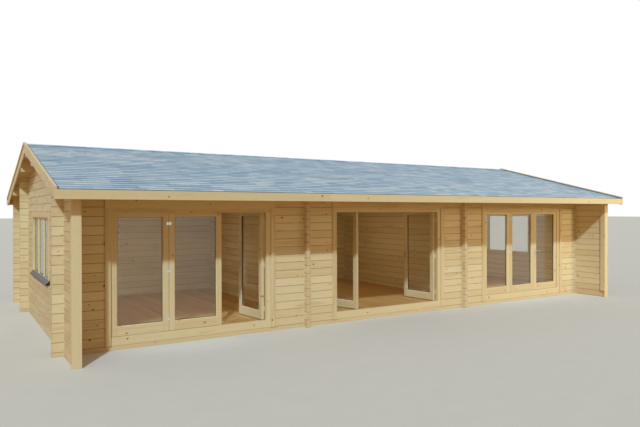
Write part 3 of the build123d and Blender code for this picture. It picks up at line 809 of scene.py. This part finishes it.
def leaf_matrix(origin, along, outward):
    """Frame of a leaf: local X runs along it from its hinge side, Y up and Z
    through its thickness."""
    across, facing = Vector((*along, 0)), Vector((*outward, 0))
    upward = facing.cross(across)
    turned = Matrix((across, upward, facing)).transposed().to_4x4()
    return Matrix.Translation(origin) @ turned


def leaf_origin(x, y, along, outward):
    """Foot of a leaf's hinge edge, in its middle plane, for a hinge axis at x, y."""
    return (
        x + outward[0] * AXIS_TO_MIDDLE + along[0] * LEAF_GAP / 2,
        y + outward[1] * AXIS_TO_MIDDLE + along[1] * LEAF_GAP / 2,
        0,
    )


def passage_matrix(side):
    """Frame of the hinged leaf at the right of a set, Z out of its room side."""
    angle = math.radians(OPEN_ANGLE[side])
    along = (-math.cos(angle), math.sin(angle))
    outward = (-math.sin(angle), -math.cos(angle))
    origin = leaf_origin(CLEAR[side][1] - LEAF_GAP / 2, HINGE_Y, along, outward)
    return leaf_matrix(origin, along, (-outward[0], -outward[1]))


def folding_matrices(side):
    """Frames of the two folding leaves at the left of a set, Z out of their front."""
    angle = math.radians(FOLD_ANGLE[side])
    along = (math.cos(angle), math.sin(angle))
    outward = (math.sin(angle), -math.cos(angle))
    origin = leaf_origin(CLEAR[side][0] + LEAF_GAP / 2, HINGE_Y, along, outward)
    first = leaf_matrix(origin, along, outward)
    pin = fold_pin(side, first)
    along = (math.cos(angle), -math.sin(angle))
    outward = (math.sin(angle), math.cos(angle))
    origin = leaf_origin(pin.x, pin.y, along, outward)
    return first, leaf_matrix(origin, along, (-outward[0], -outward[1]))


def fold_pin(side, first):
    """Place of the axis between the two folding leaves of a set."""
    return first @ Vector((FOLDING_WIDTH[side] + LEAF_GAP / 2, 0, AXIS_TO_MIDDLE))


BEAD_FACES = [[0, 1, 5, 4], [1, 2, 6, 5], [2, 3, 7, 6], [3, 0, 4, 7], [0, 1, 2, 3], [4, 5, 6, 7]]
BEAD_SETBACK = 0.003
BEAD_LIP = 0.004
GASKET = 0.0025
GASKET_REACH = (-0.001, 0.0025)
SPACER_REACH = (-0.004, 0.005)


def glazing(boards, gaskets, spacers, panes, opening, matrix, half):
    """Beads on both faces, gaskets, spacer bars and two sheets in an opening
    of a frame whose faces are half away from its middle plane."""
    left, right, bottom, top = opening
    corners = [(left, bottom), (right, bottom), (right, top), (left, top)]
    inners = [
        (left + BEAD, bottom + BEAD),
        (right - BEAD, bottom + BEAD),
        (right - BEAD, top - BEAD),
        (left + BEAD, top - BEAD),
    ]
    high, lip, low = half - BEAD_SETBACK, PANE_HALF + BEAD_LIP, PANE_HALF
    for face in (-1, 1):
        for n in range(4):
            m = (n + 1) % 4
            points = []
            for outer, inner in ((corners[n], inners[n]), (corners[m], inners[m])):
                points += [(*outer, face * low), (*inner, face * low)]
                points += [(*inner, face * lip), (*outer, face * high)]
            along, across = n % 2, 1 - n % 2
            boards.add(points, BEAD_FACES, along, matrix)
            place = inners[n][across]
            inward = 1 if n in (0, 3) else -1
            bars = [(gaskets, GASKET_REACH, (face * PANE_HALF, face * (PANE_HALF + GASKET)))]
            if face > 0:
                bars.append((spacers, SPACER_REACH, (SHEET - PANE_HALF, PANE_HALF - SHEET)))
            for target, reaches, depths in bars:
                spans = [None, None, sorted(depths)]
                spans[along] = sorted((inners[n][along], inners[m][along]))
                spans[across] = sorted(place + reach * inward for reach in reaches)
                low_point, high_point = zip(*spans)
                target.board(low_point, high_point, along, matrix, bevel=0.0004)
        back, front = sorted((face * PANE_HALF, face * (PANE_HALF - SHEET)))
        panes.board((left, bottom, back), (right, top, front), X, matrix, bevel=0.0003)


def leaf(boards, gaskets, spacers, panes, matrix, width):
    """One door leaf: stiles, rails, beads and sealed double pane."""
    rail_low, rail_high = LEAF_LOW + BOTTOM_RAIL, LEAF_HIGH - TOP_RAIL
    for low, high in ((0, STILE), (width - STILE, width)):
        boards.board((low, LEAF_LOW, -LEAF_HALF), (high, LEAF_HIGH, LEAF_HALF), Y, matrix, bevel=0.002)
    low, high = STILE + RAIL_SLIT, width - STILE - RAIL_SLIT
    boards.board((low, LEAF_LOW, -LEAF_HALF), (high, rail_low, LEAF_HALF), X, matrix, bevel=0.001)
    boards.board((low, rail_high, -LEAF_HALF), (high, LEAF_HIGH, LEAF_HALF), X, matrix, bevel=0.001)
    opening = (STILE, width - STILE, rail_low, rail_high)
    glazing(boards, gaskets, spacers, panes, opening, matrix, LEAF_HALF)


PLATE_CENTRE = HANDLE_Z - 0.036
PLATE_HALF = 0.1075
PLATE_RADIUS = 0.017
PLATE_STEP = 0.0055
PLATE = 0.007
PLATE_ARC = 8
NECK = 0.042
LEVER_BEND = 0.014
LEVER_RADIUS = 0.0085
ROSE_RADIUS = 0.0125
PLATE_SCREWS = (HANDLE_Z + 0.055, HANDLE_Z - 0.127)
KEY_Z = HANDLE_Z - 0.072
KEY_RADIUS = 0.0075
KEY_SLOT_HALF = 0.0035
KEY_SLOT_BELOW = (0.021, 0.004)
STEP_SHARES = (0.86, 0.975)
LEVER_STRAIGHT = 0.06
LEVER_END = 0.116


def handle(boards, dark, matrix, middle):
    """Lever, neck, long rounded plate and keyhole on both faces of a leaf."""
    outline = []
    for end, start in ((1, 0), (-1, 180)):
        centre = PLATE_CENTRE + end * (PLATE_HALF - PLATE_RADIUS)
        for n in range(PLATE_ARC + 1):
            angle = math.radians(start + 180 * n / PLATE_ARC)
            x = middle + PLATE_RADIUS * math.cos(angle)
            outline.append((x, centre + PLATE_RADIUS * math.sin(angle)))
    inset = [
        (middle + (x - middle) * STEP_SHARES[X], PLATE_CENTRE + (y - PLATE_CENTRE) * STEP_SHARES[Y])
        for x, y in outline
    ]
    top = LEAF_HALF + PLATE
    height = top + NECK
    path = [(middle, HANDLE_Z, top - 0.002), (middle, HANDLE_Z, top + 0.01)]
    for n in range(7):
        angle = math.radians(15 * n)
        x = middle + LEVER_BEND * (math.cos(angle) - 1)
        path.append((x, HANDLE_Z, height + LEVER_BEND * (math.sin(angle) - 1)))
    path += [(middle - LEVER_STRAIGHT, HANDLE_Z, height), (middle - LEVER_END, HANDLE_Z, height - 0.002)]
    rose = [(middle, HANDLE_Z, top + rise) for rise in (-0.001, 0.002, 0.004)]
    keyhole = [(middle, KEY_Z, top + rise) for rise in (-0.002, -0.001, 0.0006)]
    slot_low = (middle - KEY_SLOT_HALF, KEY_Z - KEY_SLOT_BELOW[0], top - 0.002)
    slot_high = (middle + KEY_SLOT_HALF, KEY_Z - KEY_SLOT_BELOW[1], top + 0.0004)
    for face in (-1, 1):
        flip = matrix if face > 0 else matrix @ Matrix.Diagonal((1, 1, -1, 1))
        boards.prism(outline, LEAF_HALF, LEAF_HALF + PLATE_STEP, Y, flip)
        boards.prism(inset, LEAF_HALF + PLATE_STEP, top, Y, flip)
        tube(boards, path, LEVER_RADIUS, flip)
        tube(boards, rose, ROSE_RADIUS, flip, 24)
        for y in PLATE_SCREWS:
            screw(boards, (middle, y, top), OUTWARD, 0.0036, flip, (0.0004, 0.001), 12)
        tube(dark, keyhole, KEY_RADIUS, flip, 20)
        dark.board(slot_low, slot_high, Y, flip, bevel=0.0004)


KNUCKLE_RADIUS = 0.0062
KNUCKLE_SLIT = 0.0003
FOLD_HINGE_HALF = 0.025
FOLD_KNUCKLE = 0.0085
FOLD_PLATE = 0.003
FOLD_PLATE_REACH = (0.004, 0.038)
FOLD_SCREW_REACH = 0.024
FOLD_SCREWS = (-0.015, 0.015)
JAMB_HINGE_HALF = 0.04
JAMB_KNUCKLE = 0.0135
FLAP_HALF = 0.038
FLAP = 0.0025
LEAF_FLAP_WIDTH = 0.024
LEAF_FLAP_SCREW_REACH = 0.015
LEAF_FLAP_SCREWS = (-0.024, 0, 0.024)
JAMB_FLAP_REACH = (0.002, 0.016)


def knuckles(boards, x, y, z, half, middle):
    """Three knuckles of a hinge on its axis: the middle one reaches middle up
    and down, the outer ones go on to half."""
    for low, high in (
        (-half, -middle - KNUCKLE_SLIT),
        (-middle + KNUCKLE_SLIT, middle - KNUCKLE_SLIT),
        (middle + KNUCKLE_SLIT, half),
    ):
        path = [(x, y, z + low), (x, y, z + (low + high) / 2), (x, y, z + high)]
        tube(boards, path, KNUCKLE_RADIUS)


folding_panes = Boards()
hinges = Boards()
for side, (left, right) in CLEAR.items():
    leaves, gaskets, spacers = Boards(), Boards(), Boards()
    first, second = folding_matrices(side)
    width = FOLDING_WIDTH[side]
    leaf(leaves, gaskets, spacers, folding_panes, first, width)
    leaf(leaves, gaskets, spacers, folding_panes, second, width)
    leaves.piece(f"folding_pair_{side}", pine_trim, "pine", replaces=(f"folding_leaves_{side}",))
    gaskets.piece(f"folding_gaskets_{side}", rubber)
    spacers.piece(f"folding_spacers_{side}", dark_metal)

    pin = fold_pin(side, first)
    face = LEAF_HALF + FOLD_PLATE
    for z in HINGE_HEIGHTS:
        for matrix, reach, inward in ((first, width, -1), (second, 0, 1)):
            edge = reach - inward * LEAF_GAP / 2
            low, high = sorted(edge + inward * away for away in FOLD_PLATE_REACH)
            low_point = (low, z - FOLD_HINGE_HALF, LEAF_HALF)
            hinges.board(low_point, (high, z + FOLD_HINGE_HALF, face), Y, matrix, bevel=0.0008)
            for offset in FOLD_SCREWS:
                place = (edge + inward * FOLD_SCREW_REACH, z + offset, face)
                screw(hinges, place, OUTWARD, 0.0038, matrix, FLAT_HEAD)
        knuckles(hinges, pin.x, pin.y, z, FOLD_HINGE_HALF, FOLD_KNUCKLE)

    moving, gaskets, spacers, panes = Boards(), Boards(), Boards(), Boards()
    plane = passage_matrix(side)
    leaf(moving, gaskets, spacers, panes, plane, PASSAGE_WIDTH[side])
    body = f"door_{side}"
    moving.piece(f"passage_door_{side}_leaf", pine_trim, "pine", body, (f"passage_leaf_{side}",))
    gaskets.piece(f"passage_door_{side}_gaskets", rubber, None, body)
    spacers.piece(f"passage_door_{side}_spacers", dark_metal, None, body)
    panes.piece(f"passage_door_{side}_panes", glass, "glass", body, (f"passage_glass_{side}",))
    lever, keyway, flaps = Boards(), Boards(), Boards()
    handle(lever, keyway, plane, PASSAGE_WIDTH[side] - HANDLE_INSET)
    replaced = (f"door_handle_{side}",)
    lever.piece(f"passage_door_{side}_handle", steel, "handle_metal", body, replaced, 35)
    keyway.piece(f"passage_door_{side}_keyway", dark_metal, None, body, (), 35)
    for z in HINGE_HEIGHTS:
        high = (LEAF_FLAP_WIDTH, z + FLAP_HALF, LEAF_HALF + FLAP)
        flaps.board((0.0, z - FLAP_HALF, LEAF_HALF), high, Y, plane, bevel=0.0006)
        for offset in LEAF_FLAP_SCREWS:
            place = (LEAF_FLAP_SCREW_REACH, z + offset, LEAF_HALF + FLAP)
            screw(flaps, place, OUTWARD, 0.0034, plane, (0.0003, 0.0008))
    flaps.piece(f"passage_door_{side}_flaps", steel, "hinge_metal", body, (), 35)

    for axis_x, sign in ((right - LEAF_GAP / 2, 1), (left + LEAF_GAP / 2, -1)):
        for z in HINGE_HEIGHTS:
            knuckles(hinges, axis_x, HINGE_Y, z, JAMB_HINGE_HALF, JAMB_KNUCKLE)
            low, high = sorted(axis_x + sign * away for away in JAMB_FLAP_REACH)
            high_point = (high, WALL_INNER_Y + FLAP, z + FLAP_HALF)
            hinges.board((low, WALL_INNER_Y, z - FLAP_HALF), high_point, Z, bevel=0.0006)
folding_panes.piece("folding_panes", glass, "glass", replaces=("folding_glass",))
hinges.piece("hinges", steel, "hinge_metal", replaces=("door_hinges",), smooth=35)

# End windows

WALL_X = 6.05
WINDOW_FRONT, WINDOW_BACK = -1.230, 0.990
WINDOW_LOW, WINDOW_HIGH = 0.84, 2.1
GLASS_LOW, GLASS_HIGH = 0.96, 1.96
WINDOW_SIDE = 0.06
MULLION = 0.07
LIGHTS = 3
WINDOW_COVER = 0.020
WINDOW_COVER_WIDTH = 0.075
WINDOW_COVER_TOP = 2.0
WINDOW_SCREWS = (1.04, 1.34, 1.65, 1.95)
WINDOW_SILL_LOW = 0.88
WINDOW_SILL_OUT = 0.062
APRON = 0.115
APRON_PARTS = ((0, 0.052), (0.054, APRON))
light_width = (WINDOW_BACK - WINDOW_FRONT - 2 * WINDOW_SIDE - (LIGHTS - 1) * MULLION) / LIGHTS
bead_low, bead_high = GLASS_LOW - BEAD, GLASS_HIGH + BEAD
half = LOG / 2
screws = Boards()
window_panes, window_gaskets, window_spacers, sills = Boards(), Boards(), Boards(), Boards()
for name, sign in (("left", -1), ("right", 1)):
    # Local X runs along the wall, Y up and Z out of the wall
    matrix = Matrix(((0, 0, sign, sign * WALL_X), (1, 0, 0, 0), (0, 1, 0, 0), (0, 0, 0, 1)))
    window = Boards()
    edge = WINDOW_SIDE - BEAD
    for low in (WINDOW_FRONT, WINDOW_BACK - edge):
        low_point = (low, WINDOW_LOW, -half)
        window.board(low_point, (low + edge, WINDOW_HIGH, half), Y, matrix, bevel=0.0015)
    for low, high in ((WINDOW_LOW, bead_low), (bead_high, WINDOW_HIGH)):
        low_point = (WINDOW_FRONT + edge, low, -half)
        window.board(low_point, (WINDOW_BACK - edge, high, half), X, matrix, bevel=0.0015)
    for n in range(LIGHTS):
        start = WINDOW_FRONT + WINDOW_SIDE + n * (light_width + MULLION)
        opening = (start - BEAD, start + light_width + BEAD, bead_low, bead_high)
        glazing(window, window_gaskets, window_spacers, window_panes, opening, matrix, half)
        if n < LIGHTS - 1:
            low = start + light_width + BEAD
            high_point = (low + MULLION - 2 * BEAD, bead_high, half)
            window.board((low, bead_low, -half), high_point, Y, matrix, bevel=0.002)
    cover_out = half + WINDOW_COVER
    cover_front = WINDOW_FRONT + WINDOW_SIDE - WINDOW_COVER_WIDTH
    cover_back = WINDOW_BACK - WINDOW_SIDE + WINDOW_COVER_WIDTH
    for low in (cover_front, cover_back - WINDOW_COVER_WIDTH):
        high_point = (low + WINDOW_COVER_WIDTH, WINDOW_COVER_TOP, cover_out)
        window.board((low, GLASS_LOW, half), high_point, Y, matrix, bevel=0.003)
        for z in WINDOW_SCREWS:
            place = (low + WINDOW_COVER_WIDTH / 2, z, cover_out)
            screw(screws, place, OUTWARD, 0.0042, matrix, FLAT_HEAD)
    high_point = (cover_back, WINDOW_HIGH, cover_out)
    window.board((cover_front, WINDOW_COVER_TOP, half), high_point, X, matrix, bevel=0.003)
    for above, below in APRON_PARTS:
        high_point = (cover_back, WINDOW_SILL_LOW - above, cover_out)
        window.board((cover_front, WINDOW_SILL_LOW - below, half), high_point, X, matrix, bevel=0.004)
    window.piece(f"window_frame_{name}", pine_trim, "pine", replaces=(f"end_window_{name}",))
    out = half + WINDOW_SILL_OUT
    outline = [
        (half, WINDOW_SILL_LOW),
        (out - 0.002, WINDOW_SILL_LOW),
        (out, WINDOW_SILL_LOW + 0.002),
        (out, WINDOW_SILL_LOW + 0.023),
        (out - 0.002, WINDOW_SILL_LOW + 0.0255),
        (half, GLASS_LOW),
    ]
    sill_plane = Matrix(((sign, 0, 0, sign * WALL_X), (0, 0, 1, 0), (0, 1, 0, 0), (0, 0, 0, 1)))
    sills.prism(outline, cover_front, cover_back, Z, sill_plane)
sills.piece("window_sill_sheets", sill_paint, "dark_sill", replaces=("window_sills",))
window_panes.piece("window_panes", glass, "glass", replaces=("end_glass",))
window_gaskets.piece("window_gaskets", rubber)
window_spacers.piece("window_spacers", dark_metal)
screws.piece("window_screws", steel, "hinge_metal", smooth=40)

# Floor of the studio, pale as seen and warm as it lights the walls


def seen_rays(tree):
    """1 for rays from the camera, also by way of gloss or glass, and 0 for others."""
    rays = tree.nodes.new("ShaderNodeLightPath").outputs
    seen = rays["Is Camera Ray"]
    for name in ("Is Glossy Ray", "Is Transmission Ray"):
        either = tree.nodes.new("ShaderNodeMath")
        either.operation = "MAXIMUM"
        tree.links.new(seen, either.inputs[0])
        tree.links.new(rays[name], either.inputs[1])
        seen = either.outputs[0]
    return seen


ground = Shader("ground")
speck = ground.noise(ground.place(), 3.0, 3.0)
pale = ground.mix(speck, colour(226, 225, 222), colour(232, 231, 228))
ground.finish(ground.mix(seen_rays(ground.tree), colour(200, 155, 102), pale), 0.9)
bpy.ops.mesh.primitive_plane_add(size=400, location=(0, 0, -0.001))
floor = bpy.context.object
floor.name = "studio_floor"
floor.data.materials.append(ground.material)
floor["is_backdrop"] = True

# World: white as seen, soft and warm as it lights the cabin

world = bpy.data.worlds.new("studio")
bpy.context.scene.world = world
world.use_nodes = True
sky = world.node_tree
soft = sky.nodes["Background"]
soft.inputs["Color"].default_value = (1.0, 0.78, 0.52, 1)
soft.inputs["Strength"].default_value = 0.37
white = sky.nodes.new("ShaderNodeBackground")
white.inputs["Color"].default_value = (1.0, 1.0, 1.0, 1)
white.inputs["Strength"].default_value = 1.0
choose = sky.nodes.new("ShaderNodeMixShader")
for n, output in enumerate((seen_rays(sky), soft.outputs[0], white.outputs[0])):
    sky.links.new(output, choose.inputs[n])
sky.links.new(choose.outputs[0], sky.nodes["World Output"].inputs["Surface"])

# Lamps: the sun, a warm lamp before the right bay and one in each front room


def lamp(name, kind, energy, tint, place=(0, 0, 0), toward=None, hidden=True, **settings):
    """A lamp whose light comes from the direction toward, or from straight above."""
    light = bpy.data.lights.new(name, kind)
    light.energy = energy
    light.color = tint
    for key, value in settings.items():
        setattr(light, key, value)
    made = bpy.data.objects.new(name, light)
    made.location = place
    if toward is not None:
        made.rotation_euler = Vector(toward).to_track_quat("Z", "Y").to_euler()
    if hidden:
        made.visible_camera = False
        made.visible_glossy = False
    bpy.context.scene.collection.objects.link(made)
    return made


SUN_SIDE = (-0.439, -0.668, 0.601)
lamp("key", "SUN", 2.1, (0.69, 0.88, 1.0), toward=SUN_SIDE, hidden=False, angle=math.radians(3))
side_lamp = lamp(
    "side",
    "SPOT",
    850,
    (1.0, 0.84, 0.58),
    (7.0, -10.5, 3.2),
    (1.2, -7.9, 1.9),
    shadow_soft_size=0.6,
    spot_size=math.radians(110),
    spot_blend=1.0,
)
# The side lamp leaves the studio floor out, so that it makes no bright patch there
unlit = bpy.data.collections.new("not_lit_by_side")
unlit.objects.link(floor)
unlit.collection_objects[0].light_linking.link_state = "EXCLUDE"
side_lamp.light_linking.receiver_collection = unlit
for x in (-4.0, 0.0, 4.0):
    lamp("room_fill", "AREA", 14, (1.0, 0.78, 0.50), (x, -0.4, 2.3), size=2.4)

# Camera

FOCAL, PHOTO_WIDTH, SENSOR = 584.59, 640, 36
YAW, PITCH, ROLL = (math.radians(angle) for angle in (32.297, -0.216, -0.106))
lens = bpy.data.cameras.new("camera")
lens.sensor_width = SENSOR
lens.lens = FOCAL / PHOTO_WIDTH * SENSOR
camera = bpy.data.objects.new("camera", lens)
camera.matrix_world = (
    Matrix.Translation((-7.468, -11.775, 2.10))
    @ Matrix.Rotation(-YAW, 4, "Z")
    @ Matrix.Rotation(math.pi / 2 + PITCH, 4, "X")
    @ Matrix.Rotation(ROLL, 4, "Z")
)
bpy.context.scene.collection.objects.link(camera)
bpy.context.scene.camera = camera
bpy.context.scene.view_settings.view_transform = "Standard"

low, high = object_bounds()
